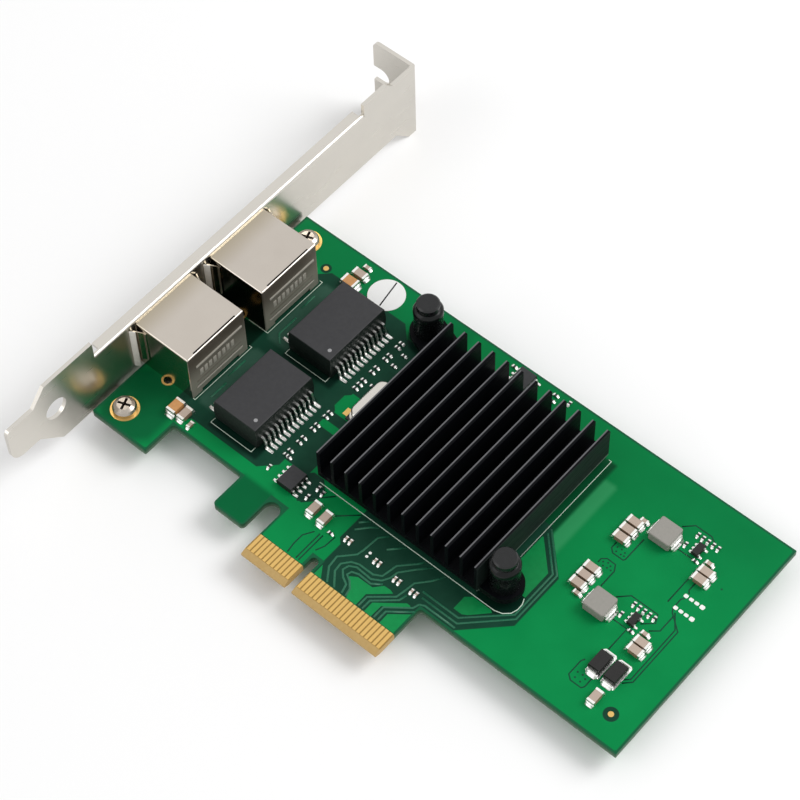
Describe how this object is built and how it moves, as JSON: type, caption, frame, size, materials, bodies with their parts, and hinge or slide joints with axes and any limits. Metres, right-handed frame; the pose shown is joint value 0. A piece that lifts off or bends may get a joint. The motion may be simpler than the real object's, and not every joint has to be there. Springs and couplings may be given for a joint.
{
  "type": "network interface card",
  "caption": "Expansion card with network jacks on a slotted steel bracket, magnetics, a finned heat sink and a notched gold edge connector.",
  "frame": {"origin": "middle of the key notch on the line of the contact tips, on the component-side face of the board", "axes": "+X along the board from the bracket to the free end, +Y from the contact tips to the board's upper edge, +Z out of the component side"},
  "size_m": [0.1384, 0.1209, 0.0238],
  "materials": {
    "solder_mask": "green solder mask over copper and glass laminate",
    "gold": "gold plating",
    "bracket_steel": "nickel-plated sheet steel",
    "screw_steel": "nickel-plated",
    "shield_nickel": "bright nickel-plated sheet",
    "housing_plastic": "black moulded",
    "lamp_plastic": "clear moulded",
    "mould_compound": "dark moulded epoxy",
    "tinned_leads": "tinned",
    "thermal_rubber": "grey elastomer",
    "black_anodised": "black anodised",
    "pin_plastic": "black moulded",
    "can_steel": "drawn can",
    "ferrite": "grey moulded powder",
    "capacitor_ceramic": "fired",
    "film_capacitor": "fired, orange",
    "resistor_ceramic": "dark coat",
    "solder": "tinned",
    "label_paper": "matt"
  },
  "bodies": {
    "root": {"circuit_board": "solder_mask", "contacts_component_side": "gold", "contacts_solder_side": "gold", "plated_rings": "gold", "bracket": "bracket_steel", "bracket_screws": "screw_steel", "jack_1_shield": "shield_nickel", "jack_2_shield": "shield_nickel", "jack_1_housing": "housing_plastic", "jack_2_housing": "housing_plastic", "jack_1_contacts": "gold", "jack_2_contacts": "gold", "jack_1_lamps": "lamp_plastic", "jack_2_lamps": "lamp_plastic", "magnetics_1_body": "mould_compound", "magnetics_2_body": "mould_compound", "magnetics_1_pins": "tinned_leads", "magnetics_2_pins": "tinned_leads", "controller_package": "mould_compound", "thermal_pad": "thermal_rubber", "heat_sink": "black_anodised", "push_pins": "pin_plastic", "memory_chip_bodies": "mould_compound", "memory_chip_pins": "tinned_leads", "regulator_bodies": "mould_compound", "regulator_pins": "tinned_leads", "crystal_base": "mould_compound", "crystal_can": "can_steel", "inductor_cores": "ferrite", "inductor_terminals": "tinned_leads", "diode_bodies": "mould_compound", "diode_terminals": "tinned_leads", "capacitor_bodies": "capacitor_ceramic", "film_capacitor_bodies": "film_capacitor", "capacitor_ends": "tinned_leads", "coupling_capacitor_bodies": "capacitor_ceramic", "resistor_bodies": "resistor_ceramic", "small_chip_ends": "tinned_leads", "solder_lands": "solder", "inspection_label": "label_paper"}
  },
  "joints": []
}
